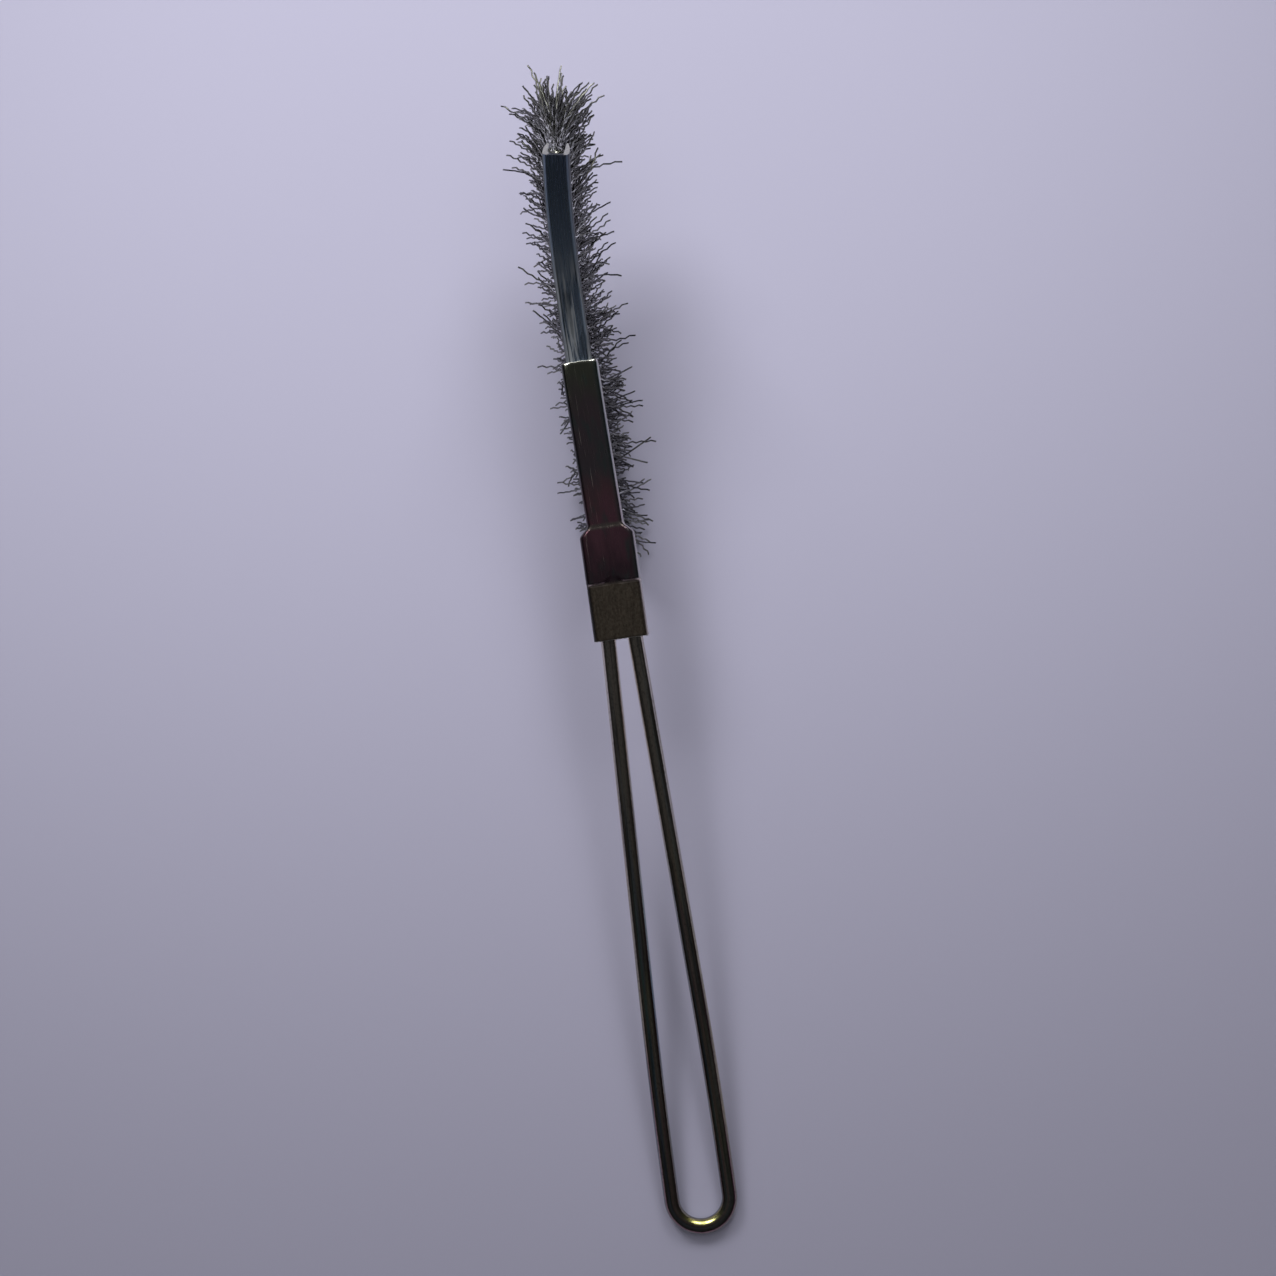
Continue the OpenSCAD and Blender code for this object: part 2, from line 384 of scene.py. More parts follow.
def yellow_zinc_wire():
    """Drawn wire with dark passivated zinc, in bands of teal, slate and maroon, with faint yellow patches.
    Inside the loop, on the faces turned up and towards the lamps, a yellow painted highlight; the legs are
    painted lighter towards the ferrule
    """
    f = Finish("yellow_zinc_wire")
    along = f.parts(f.place)["Z"]
    bands = f.noise((1.6, 1.6, 0.012), detail=2.5)
    tint = f.ramp(bands, (0.28, TEAL), (0.40, SLATE), (0.49, SMOKE), (0.58, BRONZE), (0.68, MAROON))
    from_loop = f.math("ABSOLUTE", f.minus(along, HANDLE_HALF))
    gold = f.noise((0.3, 0.3, 0.05), shift=7.0)
    facing = f.parts(f.add("ShaderNodeTexCoord").outputs["Normal"])
    # painted highlight: yellow on the loop's inner upper faces, which face the lamps, with a rougher gloss
    # there
    upper = f.times(f.fit(facing["Z"], 0.45, 0.75), f.fit(facing["Y"], 0.02, 0.32))
    loop_highlight_share = f.times(f.fit(from_loop, 8.5, 3.5, 0.0, 0.95), upper)
    gold_and_highlight_share = f.larger(f.fit(gold, 0.5, 0.8, 0.0, 0.2), loop_highlight_share)
    colour = f.mix(gold_and_highlight_share, tint, GOLD)
    lines = f.noise((9.0, 9.0, 0.05), detail=4.0, shift=3.0)
    specks = f.noise((4.0, 4.0, 2.0), detail=6.0, shift=11.0)
    # painted light: the legs turn lighter towards the ferrule, which lies nearer the lamps
    near_ferrule = f.fit(from_loop, 50.0, 115.0, 0.0, 0.8)
    colour = f.mix(near_ferrule, colour, PAINTED_LIGHT_BRONZE)
    streaks = f.noise((2.6, 2.6, 0.045), detail=3.0, shift=17.0)
    colour = f.mix(f.fit(streaks, 0.54, 0.64, 0.0, 0.5), colour, PALE_STREAK)
    colour = f.mix(f.fit(streaks, 0.44, 0.36, 0.0, 0.6), colour, DARK_STREAK)
    colour = f.mix(f.fit(specks, 0.52, 0.66, 0.0, 0.6), colour, SPECK)
    roughness = f.plus(f.fit(lines, 0.3, 0.7, 0.09, 0.20), f.times(loop_highlight_share, 0.12))
    normal = f.bump(lines, 0.02 * MM, 0.5, f.bump(specks, 0.02 * MM, 0.3))
    return f.finish(colour, roughness, normal)


def yellow_zinc_sheet():
    """Sheet with dark passivated zinc: green in front, maroon round the crease, olive on the tail"""
    f = Finish("yellow_zinc_sheet")
    place = f.parts(f.place)
    along = place["Z"]
    clouds = f.noise((0.30, 0.30, 0.10), detail=4.0, roughness=0.6, shift=5.0)
    drift = f.plus(along, f.fit(clouds, 0.3, 0.7, -4.0, 4.0))
    tint = f.ramp(
        f.fit(drift, TAIL_Y, CREASE_Y + FRONT_LEN),
        (0.26, (0.28, 0.165, 0.215)),
        (0.42, (0.62, 0.28, 0.38)),
        (0.52, (0.52, 0.28, 0.33)),
        (0.64, (0.33, 0.28, 0.32)),
        (0.80, (0.34, 0.26, 0.30)),
        (0.96, (0.31, 0.33, 0.26)),
    )
    patches = f.noise((0.5, 0.5, 0.16), detail=3.0, shift=9.0)
    beside_edge = f.minus(place["X"], f.fit(along, CREASE_Y + 0.5, CREASE_Y - 2.0, 0.0, 1.7))
    green = f.larger(f.fit(patches, 0.55, 0.7, 0.0, 0.5), f.fit(beside_edge, 2.2, 3.0, 0.0, 0.5))
    tint = f.mix(green, tint, TEAL)
    tail = f.fit(along, STEP_Y + 0.6, STEP_Y - 0.2)
    grain = f.noise((6.0, 6.0, 0.25), detail=5.0, shift=2.0)
    mottle = f.noise((3.0, 3.0, 2.0), detail=6.0, roughness=0.65, shift=4.0)
    colour = f.mix(f.fit(grain, 0.35, 0.75, 0.0, 0.4), tint, DULL)
    tail_colour = f.mix(f.fit(mottle, 0.35, 0.65), OLIVE_DARK, OLIVE_LIGHT)
    colour = f.mix(tail, colour, tail_colour)
    scratches = f.noise((4.2, 4.2, 0.06), detail=1.0, shift=13.0, distortion=0.8)
    scratch = f.times(f.fit(scratches, 0.66, 0.72), f.fit(place["X"], 0.5, -1.5))
    scratch = f.times(scratch, f.minus(1.0, tail))
    colour = f.mix(f.times(scratch, 0.6), colour, SCRATCH)
    across = f.math("ABSOLUTE", place["X"])
    # painted highlight: the step's slope beside the dent is painted light, as it reflects the floor
    step = f.between(along, STEP_Y - 0.35, STEP_Y - 0.15, STEP_Y + 0.2, STEP_Y + 0.45)
    step = f.times(step, f.fit(across, 0.7, 1.5, 0.1, 0.85))
    colour = f.mix(step, colour, PAINTED_STEP_HIGHLIGHT)
    front = CREASE_Y + FRONT_LEN
    # bare worn metal with a painted highlight: the front corners of the cut edge are painted near white, to
    # sparkle
    worn_and_glint = f.times(f.fit(along, front - 0.55, front - 0.3), f.fit(across, 1.5, 2.2, 0.25, 0.95))
    colour = f.mix(worn_and_glint, colour, BARE_CORNER_GLINT)
    # painted highlight: a light line across the back along the crease
    crease = f.between(along, CREASE_Y - 0.7, CREASE_Y - 0.2, CREASE_Y + 0.2, CREASE_Y + 0.7)
    colour = f.mix(f.times(crease, 0.8), colour, CREASE_HIGHLIGHT)
    # painted reflections: the left fold along the back is painted nearly black and the right wall is painted
    # light, as the floor reflects in it
    fold = f.add("ShaderNodeAttribute", attribute_name="fold").outputs["Fac"]
    colour = f.mix(f.fit(fold, 0.0, -1.0, 0.0, 0.9), colour, PAINTED_DARK_FOLD)
    wall_reflection_share = f.times(f.fit(fold, 0.0, 1.0), f.fit(clouds, 0.3, 0.6, 0.55, 0.95))
    colour = f.mix(wall_reflection_share, colour, WALL_REFLECTION)
    roughness = f.plus(f.fit(grain, 0.3, 0.7, 0.15, 0.28), f.times(tail, 0.14))
    roughness = f.plus(roughness, f.times(scratch, 0.25))
    normal = f.bump(grain, 0.03 * MM, 0.5, f.bump(mottle, 0.03 * MM, f.fit(tail, 0.0, 1.0, 0.15, 0.9)))
    return f.finish(colour, roughness, normal)


def sheared_edge():
    """Bare metal where the sheet was cut"""
    f = Finish("sheared_edge")
    tears = f.noise((5.0, 5.0, 3.0), detail=5.0, shift=6.0)
    colour = f.ramp(tears, (0.35, (0.46, 0.47, 0.40)), (0.62, (0.92, 0.92, 0.84)))
    return f.finish(colour, f.fit(tears, 0.3, 0.7, 0.28, 0.45), f.bump(tears, 0.04 * MM, 0.8))


def sheared_zinc():
    """The strip's cut end: bright on the walls, stained in the middle of the back"""
    f = Finish("sheared_zinc")
    across = f.math("ABSOLUTE", f.parts(f.place)["X"])
    tears = f.noise((5.0, 5.0, 3.0), detail=5.0, shift=6.0)
    wall = f.ramp(tears, (0.35, (0.52, 0.52, 0.50)), (0.65, (0.80, 0.80, 0.77)))
    colour = f.mix(f.fit(across, 1.75, 1.4), wall, CUT_STAIN)
    return f.finish(colour, f.fit(tears, 0.3, 0.7, 0.38, 0.52), f.bump(tears, 0.04 * MM, 0.8))


def bright_zinc():
    """Bright zinc strip with lengthwise rolling streaks, dulled by handling in front of the ferrule"""
    f = Finish("bright_zinc")
    place = f.parts(f.place)
    streaks = f.noise((0.9, 0.9, 0.09), detail=3.0, shift=1.0, distortion=0.4)
    fine = f.noise((5.0, 5.0, 0.12), detail=4.0, shift=8.0)
    drift = f.plus(place["Z"], f.fit(fine, 0.3, 0.7, -3.5, 3.5))
    dull_zone = f.fit(drift, DULL_END, DULL_END - DULL_FADE)
    dull = f.plus(streaks, f.times(fine, 0.45))
    dull = f.times(f.fit(dull, 0.66, 0.80), dull_zone)
    bright = f.mix(f.fit(fine, 0.35, 0.65), ZINC_DARK, ZINC_LIGHT)
    colour = f.mix(dull, bright, ZINC_DULL)
    across = f.math("ABSOLUTE", place["X"])
    near_edge = f.between(across, 1.55, 1.75, 1.8, 2.0)
    stains = f.fit(f.noise((1.1, 1.1, 0.13), detail=3.0, shift=15.0), 0.54, 0.60, 0.0, 0.45)
    edge_line = f.times(near_edge, f.fit(streaks, 0.36, 0.46, 0.0, 0.9))
    dark = f.times(f.larger(edge_line, stains), dull_zone)
    colour = f.mix(dark, colour, ZINC_STAIN)
    # grime and painted shade: the walls darken and lose their metal sheen deeper below the back, beside the
    # bristles
    grime_and_shade = f.fit(place["Y"], 0.04, 0.4, 0.0, 0.9)
    colour = f.mix(grime_and_shade, colour, GRIME_AND_SHADE)
    lines = f.noise((8.0, 8.0, 0.06), detail=4.0, shift=4.0)
    roughness = f.plus(f.fit(lines, 0.3, 0.7, 0.2, 0.32), f.times(dull, 0.22))
    roughness = f.plus(roughness, f.times(grime_and_shade, 0.35))
    f.put(f.shader.inputs["Metallic"], f.minus(1.0, grime_and_shade))
    return f.finish(colour, roughness, f.bump(lines, 0.03 * MM, 0.5))


def bristle_steel():
    """Bare steel wire, each one a little lighter, darker or browner than the next, with painted glints"""
    f = Finish("bristle_steel")
    tint = f.add("ShaderNodeAttribute", attribute_name="tint").outputs["Fac"]
    colour = f.ramp(
        tint,
        (0.0, (0.07, 0.07, 0.07)),
        (0.55, (0.13, 0.13, 0.12)),
        (0.85, (0.22, 0.22, 0.19)),
        (1.0, (0.32, 0.33, 0.29)),
    )
    dirt = f.noise((2.0, 2.0, 0.8), detail=4.0)
    colour = f.mix(f.fit(dirt, 0.5, 0.8, 0.0, 0.5), colour, BRISTLE_DIRT)
    # painted glints: short near-white dashes on the lighter wires, on the part nearer the core
    painted_glints = f.fit(f.noise((2.0, 2.0, 0.45), detail=1.0, shift=21.0), 0.52, 0.58)
    painted_glints = f.times(painted_glints, f.fit(tint, 0.45, 0.75))
    point = f.parts(f.place)["Z"]
    painted_glints = f.times(painted_glints, f.fit(point, BRISTLE_POINTS * 0.75, BRISTLE_POINTS * 0.6))
    colour = f.mix(painted_glints, colour, BRISTLE_GLINT)
    roughness = f.fit(dirt, 0.3, 0.7, 0.14, 0.28)
    return f.finish(colour, roughness, f.bump(dirt, 0.02 * MM, 0.5))


def core_steel():
    """Bare steel wire that the bristles are folded round"""
    f = Finish("core_steel")
    lines = f.noise((6.0, 6.0, 0.1), detail=4.0)
    colour = f.ramp(lines, (0.35, (0.16, 0.16, 0.17)), (0.65, (0.32, 0.32, 0.33)))
    return f.finish(colour, f.fit(lines, 0.3, 0.7, 0.3, 0.45), f.bump(lines, 0.03 * MM, 0.5))


# ---- swept pieces: handle wire, core wire and strip channel ----


def sweep_nodes(name, profile):
    """A section swept along a path. profile(nodes) gives the section's curve, which lies in x and y"""
    n = ShapeNodes(name, radius=1.0, sides=24)
    curve = n.add("GeometryNodeMeshToCurve", {"Mesh": n["Geometry"]}).outputs[0]
    curve = n.add("GeometryNodeSetCurveNormal", {"Curve": curve}, mode="Z_UP").outputs[0]
    length = n.add("GeometryNodeSplineParameter").outputs["Length"]
    along = n.add("GeometryNodeCaptureAttribute", {"Geometry": curve})
    along.capture_items.new("FLOAT", "along")
    n.put(along.inputs["along"], length)
    section = n.add("GeometryNodeCaptureAttribute", {"Geometry": profile(n)})
    section.capture_items.new("VECTOR", "across")
    n.put(section.inputs["across"], n.add("GeometryNodeInputPosition").outputs[0])
    swept = n.add(
        "GeometryNodeCurveToMesh",
        {"Curve": along.outputs[0], "Profile Curve": section.outputs[0], "Fill Caps": True},
    )
    across = n.parts(section.outputs["across"])
    unrolled = n.vector(
        n.over(across["X"], MM),
        n.over(across["Y"], MM),
        n.over(along.outputs["along"], MM),
    )
    stored = n.add(
        "GeometryNodeStoreNamedAttribute",
        {"Geometry": swept.outputs[0], "Name": "unrolled", "Value": unrolled},
        data_type="FLOAT_VECTOR",
    )
    return n.finish(stored.outputs[0])


def round_section(n):
    circle = n.add("GeometryNodeCurvePrimitiveCircle", {"Resolution": n["sides"], "Radius": n["radius"]})
    return circle.outputs[0]


def leg_offset(u):
    """Distance of a leg's centre line from the middle, at distance u from the loop's middle"""
    bow = BOW_LEN / BOW_R
    if u <= BOW_R * math.sin(bow):
        return LOOP_R - BOW_R + math.sqrt(BOW_R * BOW_R - u * u)
    return LOOP_R - BOW_R * (1 - math.cos(bow)) - (u - BOW_R * math.sin(bow)) * math.tan(bow)


def handle_path():
    """Centre line of the handle wire, from the right leg's end round the loop to the left leg's end"""
    leg_end = LEG_LEN * math.cos(BOW_LEN / BOW_R)
    stations = [leg_end * i / 48 for i in range(49)]
    right = [(leg_offset(u), u, 0) for u in reversed(stations)]
    turns = [math.pi * i / 40 for i in range(1, 40)]
    loop = [(LOOP_R * math.cos(a), -LOOP_R * math.sin(a), 0) for a in turns]
    left = [(-x, y, z) for x, y, z in reversed(right)]
    return [HANDLE @ Vector(p) for p in right + loop + left]


def strip_path(depth, short=0.0):
    """Line along the strip at a depth under its back, ending short of the strip's tip"""
    stations = [0, STRIP_STRAIGHT / 3, STRIP_STRAIGHT * 2 / 3]
    stations += [STRIP_STRAIGHT + (STRIP_LEN - STRIP_STRAIGHT - short) * i / 48 for i in range(49)]
    points = []
    for s in stations:
        y, z, turn = strip_place(s)
        point = Vector((sideways(s), y + depth * math.sin(turn), z - depth * math.cos(turn)))
        points.append(STRIP @ point)
    return points


def channel_outline():
    """The channel's section in x and height: the right half from the back's outside to its inside, then
    the left half. The walls are pressed in on the bristles and thin out towards the lips."""
    outer_r, inner_r = CHANNEL_OUTER_R, CHANNEL_INNER_R
    half, inner = CHANNEL_HALF, CHANNEL_HALF - CHANNEL_T

    def arc(cx, cz, r, start, steps=6):
        angles = [start - math.pi / 2 * i / steps for i in range(steps + 1)]
        return [(cx + r * math.cos(a), cz + r * math.sin(a)) for a in angles]

    low = -CHANNEL_H
    wall = [(half - 0.03, -2.2), (half - 0.18, -3.4), (half - 0.42, -4.4), (half - 0.55, low + 0.08)]
    wall += [(half - 0.63, low), (half - 0.73, low), (half - 0.80, low + 0.1)]
    wall += [(half - 0.84, -4.2), (inner - 0.06, -3.2), (inner, -2.1)]
    outer = arc(half - outer_r, -outer_r, outer_r, math.pi / 2)
    inside = arc(inner - inner_r, -CHANNEL_T - inner_r, inner_r, math.pi / 2)
    half_outline = outer + wall + inside[::-1]
    return half_outline + [(-x, z) for x, z in reversed(half_outline)]


def channel_section(n):
    outline = {"Object": channel_outline_object}
    info = n.add("GeometryNodeObjectInfo", outline, transform_space="ORIGINAL")
    return n.add("GeometryNodeMeshToCurve", {"Mesh": info.outputs["Geometry"]}).outputs[0]


def closed_outline_object(name, outline):
    mesh = bpy.data.meshes.new(name)
    count = len(outline)
    edges = [(i, (i + 1) % count) for i in range(count)]
    mesh.from_pydata([(x * MM, -z * MM, 0) for x, z in outline], edges, [])
    outline_object = bpy.data.objects.new(name, mesh)
    bpy.context.scene.collection.objects.link(outline_object)
    return outline_object


def shear_mouth(piece, edge_material):
    """At the strip's tip the shears have spread the walls inwards, most of all next to the back"""
    places = [Vector(item.vector) for item in piece.data.attributes["unrolled"].data]
    end = max(place.z for place in places) - 0.05
    for vert, place in zip(piece.data.vertices, places):
        inside = abs(place.x) < CHANNEL_HALF - CHANNEL_T + 0.01 and place.y > CHANNEL_T - 0.01
        if place.z > end and inside:
            vert.co.x -= math.copysign(MOUTH_SPREAD * (1 - place.y / CHANNEL_H) * MM, place.x)
    piece.data.materials.append(edge_material)
    for face in piece.data.polygons:
        if all(places[i].z > end for i in face.vertices):
            face.material_index = 1


round_sweep = sweep_nodes("round_wire", round_section)

handle_wire = shape_from(
    "handle_wire_bent",
    round_sweep,
    path_mesh("handle_path", handle_path()),
    radius=WIRE_R * MM,
    sides=40,
    material=yellow_zinc_wire(),
)
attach(handle_wire, "root")
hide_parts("handle_wire")

core_wire = shape_from(
    "core_wire_bent",
    round_sweep,
    path_mesh("core_path", strip_path(-CORE_Z, CORE_RECESS)),
    radius=CORE_R * MM,
    sides=24,
    material=core_steel(),
)
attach(core_wire, "root")
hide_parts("core_wire")

channel_outline_object = closed_outline_object("channel_outline", channel_outline())
strip_channel = shape_from(
    "strip_channel_bent",
    sweep_nodes("channel_sweep", channel_section),
    path_mesh("channel_path", strip_path(0)),
    material=bright_zinc(),
)
bpy.data.objects.remove(channel_outline_object)
shear_mouth(strip_channel, sheared_zinc())
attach(strip_channel, "root")
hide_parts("strip_channel")

# ---- ferrule ----


def back_height(x, y):
    """Height of the ferrule's back: pressed tail, step, dent between the wires, and crease"""
    between = math.exp(-((x / 1.35) ** 2))
    ramp = 0.55 + 1.9 * between
    z = TAIL_Z + (WIDE_Z - TAIL_Z) * smooth((y - STEP_Y + 0.05) / ramp)
    if y < STEP_Y + ramp:
        z -= 0.07 * between * smooth((y - TAIL_Y - 1.5) / 4)
    crease = 0.055 + 0.05 * noise.noise(Vector((x * 0.9, 4.1, 0.3)))
    z -= crease * math.exp(-(((y - CREASE_Y) / 0.2) ** 2)) * smooth((2.9 - abs(x)) / 0.8)
    return z


def ferrule_section(y, inset):
    """Points round the sheet at y, from the left lip over the back to the right lip.
    inset is 0 for the outside and the sheet's thickness for the inside."""
    narrow = smooth((y - CREASE_Y - 0.5 + SHOULDER_LEN) / SHOULDER_LEN)
    half = REAR_HALF + (FRONT_HALF - REAR_HALF) * narrow - inset
    low = -TAIL_Z + (WIDE_Z - FRONT_DEPTH + TAIL_Z) * narrow + inset
    slot_open = smooth((y - CREASE_Y - 0.2 + SHOULDER_LEN) / (SHOULDER_LEN - 0.6))
    slot = SEAM_HALF + (LIP_HALF - SEAM_HALF) * slot_open
    radius = max(FOLD_R - inset, 0.25)
    corner_z = back_height(half, y) - inset - radius
    side = [(half, low + radius + (corner_z - low - radius) * i / 4) for i in range(4)]
    lower = []
    for i in range(6):
        a = math.pi / 2 * i / 6
        lower.append((half - radius + radius * math.sin(a), low + radius - radius * math.cos(a)))
    floor_start = min(slot, half - radius - 0.05)
    flange = [(floor_start + (half - radius - floor_start) * i / 4, low) for i in range(4)]
    upper = []
    for i in range(7):
        a = math.pi / 2 * i / 6
        upper.append((half - radius + radius * math.cos(a), corner_z + radius * math.sin(a)))
    top = []
    for i in range(1, 13):
        x = (half - radius) * (1 - i / 12)
        top.append((x, back_height(x, y) - inset))
    right = flange + lower + side + upper + top
    return [(-x, z) for x, z in right[:-1]] + list(reversed(right))


def painted_side_light(x, z, section):
    """-1 on the left fold along the back, which is painted nearly black as a dark reflection, and 1 on the
    right wall, which is painted light as a reflection of the floor
    """
    half = max(px for px, pz in section)
    top = max(pz for px, pz in section)
    if x > 0:
        return smooth((x - half + 0.35) / 0.3)
    return -smooth((-x - half + 0.75) / 0.4) * smooth((z - top + FOLD_R + 0.5) / 0.4)


def ferrule_stations():
    stations = [TAIL_Y + d for d in (0, 0.5, 1.5, 3, 5, 7, 9, 10)]
    stations += [STEP_Y + 0.14 * i - 0.3 for i in range(22)]
    stations += [123.5, 124.5, 125.5, 126.5, 127.3]
    stations += [CREASE_Y + 0.5 - SHOULDER_LEN + SHOULDER_LEN * i / 30 for i in range(31)]
    stations += [CREASE_Y + 0.8, CREASE_Y + 1.3]
    stations += [CREASE_Y + 2 + (FRONT_LEN - 2) * i / 20 for i in range(20)]
    stations += [CREASE_Y + FRONT_LEN - 0.4, CREASE_Y + FRONT_LEN]
    return stations


def ferrule_point(x, y, z):
    """From the straight ferrule to the row frame: the narrow part bends up at the crease"""
    if y <= CREASE_Y:
        return HANDLE @ Vector((x, y, z))
    return FRONT @ Vector((x + sideways(y - CREASE_Y), y - CREASE_Y, z - WIDE_Z))


def make_ferrule(material, edge_material):
    build = bmesh.new()
    unrolled = build.verts.layers.float_vector.new("unrolled")
    fold = build.verts.layers.float.new("fold")
    stations = ferrule_stations()
    last = len(stations) - 1
    rings = []
    for k, y in enumerate(stations):
        ring = []
        for inset in (0.0, SHEET_T):
            section = ferrule_section(y, inset)
            if inset:
                section = list(reversed(section))
            for x, z in section:
                edge, droop = 0.0, 0.0
                if k == last:
                    edge = 0.16 * noise.noise(Vector((x * 1.3, z * 1.3, 2.7)))
                    if z > 0:
                        droop = 0.15 * math.exp(-(((abs(x) - 2.45) / 0.45) ** 2))
                vert = build.verts.new(ferrule_point(x, y + edge, z - droop))
                vert[unrolled] = (x, z, y)
                vert[fold] = painted_side_light(x, z, section)
                ring.append(vert)
        rings.append(ring)
    count = len(rings[0])
    for a, b in zip(rings, rings[1:]):
        for i in range(count):
            j = (i + 1) % count
            build.faces.new((a[i], a[j], b[j], b[i]))
    for ring, flip in ((rings[0], False), (rings[-1], True)):
        for i in range(count // 2 - 1):
            quad = [ring[i], ring[count - 1 - i], ring[count - 2 - i], ring[i + 1]]
            face = build.faces.new(reversed(quad) if flip else quad)
            face.material_index = 1
    bmesh.ops.recalc_face_normals(build, faces=build.faces)
    mesh = bpy.data.meshes.new("ferrule_folded")
    build.to_mesh(mesh)
    build.free()
    mesh.materials.append(material)
    mesh.materials.append(edge_material)
    for face in mesh.polygons:
        face.use_smooth = True
    piece = bpy.data.objects.new("ferrule_folded", mesh)
    bpy.context.scene.collection.objects.link(piece)
    bevel = piece.modifiers.new("broken_edges", "BEVEL")
    bevel.width = 0.16 * MM
    bevel.segments = 2
    bevel.limit_method = "ANGLE"
    bevel.angle_limit = math.radians(50)
    bevel.material = 1
    return piece


ferrule = make_ferrule(yellow_zinc_sheet(), sheared_edge())
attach(ferrule, "root")
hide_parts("ferrule")

# ---- bristles ----


def bristle_nodes():
    """Crimped bristles folded over the core, for a stretch of the strip. Sizes are in metres"""
    n = ShapeNodes(
        "bristle_group",
        count=100,
        start=0.0,
        end=0.004,
        length=BRISTLE_LEN * MM,
        trim=0.07,
        wire_radius=BRISTLE_R * MM,
        core_radius=CORE_R * MM,
        core_depth=-CORE_Z * MM,
        straight=STRIP_STRAIGHT * MM,
        bend_radius=STRIP_R * MM,
        strip_length=STRIP_LEN * MM,
        core_recess=CORE_RECESS * MM,
        set_lean=SET_LEAN,
        set_tip=SET_TIP * MM,
        splay_mean=0.23,
        splay_bias=0.05,
        splay_spread=0.17,
        tuft_spread=0.11,
        lean_spread=0.11,
        lift=0.20,
        stray=0.8,
        wander=0.0012,
        tip_lean=0.02,
        tip_fan=0.015,
        rear_lean=0.24,
        rear_fan=0.012,
        crimp=0.00017,
        placing=(0.0, 0.0, 0.0),
        turning=(0.0, 0.0, 0.0),
        shine=0.0,
        seed=1,
    )
    one = n.add("GeometryNodeMeshLine", {"Count": BRISTLE_POINTS})
    roots = n.add("GeometryNodeMeshLine", {"Count": n["count"]})
    placed = n.add(
        "GeometryNodeInstanceOnPoints", {"Points": roots.outputs[0], "Instance": one.outputs[0]}
    )
    lines = n.add("GeometryNodeRealizeInstances", {"Geometry": placed.outputs[0]}).outputs[0]

    index = n.add("GeometryNodeInputIndex").outputs[0]
    wire = n.math("FLOOR", n.over(n.plus(index, 0.5), BRISTLE_POINTS))
    point = n.minus(index, n.times(wire, BRISTLE_POINTS))
    pair = n.math("FLOOR", n.times(n.plus(wire, 0.5), 0.5))
    side = n.minus(n.times(n.minus(wire, n.times(pair, 2)), 2), 1)   # -1 left, 1 right

    pairs = n.times(n["count"], 0.5)
    share = n.over(n.plus(pair, n.random(0.0, 1.0, pair, 1)), pairs)
    s = n.plus(n["start"], n.times(n.minus(n["end"], n["start"]), share))

    # the fold: a quarter turn round the core from its top to its side
    fold = n.smaller(n.over(point, FOLD_STEPS), 1.0)
    fold_angle = n.times(n.minus(1.0, fold), math.pi / 2)
    layer = n.random(1.0, 2.3, pair, 2)
    fold_radius = n.plus(n["core_radius"], n.times(n["wire_radius"], layer))
    # past the end of the core the wires close up and fill the channel's mouth
    past_core = n.minus(s, n.minus(n["strip_length"], n["core_recess"]))
    past_core = n.smaller(n.larger(n.over(past_core, 0.0004), 0.0), 1.0)
    closing = n.minus(1.0, n.times(past_core, n.random(0.0, 1.0, pair, 5)))
    fold_radius = n.times(fold_radius, closing)
    fold_x = n.times(n.times(fold_radius, n.math("COSINE", fold_angle)), side)
    fold_z = n.times(fold_radius, n.math("SINE", fold_angle))

    # the free leg: an arc that turns outwards, with a kink at every point
    steps = BRISTLE_POINTS - 1 - FOLD_STEPS
    t = n.larger(n.over(n.minus(point, FOLD_STEPS), steps), 0.0)
    length = n.times(n["length"], n.minus(1.0, n.random(0.0, n["trim"], wire, 3)))

    def spread_of(width, shift, identity):
        """A number round 0 that is seldom far from it"""
        total = n.plus(n.random(-1.0, 1.0, identity, shift), n.random(-1.0, 1.0, identity, shift + 1))
        total = n.plus(total, n.random(-1.0, 1.0, identity, shift + 2))
        return n.times(total, width)

    def arc_offset(turn):
        """Sideways travel at t along an arc that turns by this angle, for a length of 1"""
        return n.times(n.times(turn, 0.5), n.times(t, t))

    # neighbours hold together in tufts, and a few wires stray
    tuft = n.plus(n.times(n.math("FLOOR", n.over(pair, 3.0)), 2.0), side)
    stray = n.plus(1.0, n.times(n.power(n.random(0.0, 1.0, wire, 9), 10.0), n["stray"]))
    own = n.times(spread_of(n["splay_spread"], 10, wire), stray)
    splay = n.plus(own, spread_of(n["tuft_spread"], 50, tuft))
    splay = n.plus(splay, n.times(side, n["splay_mean"]))
    splay = n.plus(splay, n["splay_bias"])
    sway = n.times(spread_of(n["lean_spread"], 20, wire), stray)
    sway = n.plus(sway, spread_of(n["tuft_spread"], 60, tuft))
    near_tip = n.minus(s, n.minus(n["strip_length"], n["tip_fan"]))
    near_tip = n.over(n.larger(near_tip, 0.0), n["tip_fan"])
    # the legs curve forward, more so from the ferrule onwards and less at the very tip
    rise = n.smaller(n.times(n.over(s, n["strip_length"]), 2.0), 1.0)
    rise = n.times(n.times(rise, rise), n.minus(1.0, near_tip))
    sway = n.plus(sway, n.times(n["lift"], rise))
    drop = n.plus(n.times(splay, splay), n.times(sway, sway))
    drop = n.times(n.over(drop, 6.0), n.power(t, 3.0))
    leg_x = n.times(arc_offset(splay), length)
    leg_y = n.times(arc_offset(sway), length)
    leg_z = n.times(n.minus(t, drop), length)

    odd = n.minus(n.times(n.math("FLOORED_MODULO", point, 2.0), 2.0), 1.0)
    kink = n.times(n.times(odd, n["crimp"]), n.smaller(n.times(t, 6.0), 1.0))
    kink = n.times(kink, n.random(0.75, 1.15, index, 30))
    plane = n.random(0.0, math.pi, wire, 31)
    kink_x = n.times(kink, n.math("COSINE", plane))
    kink_y = n.times(kink, n.math("SINE", plane))

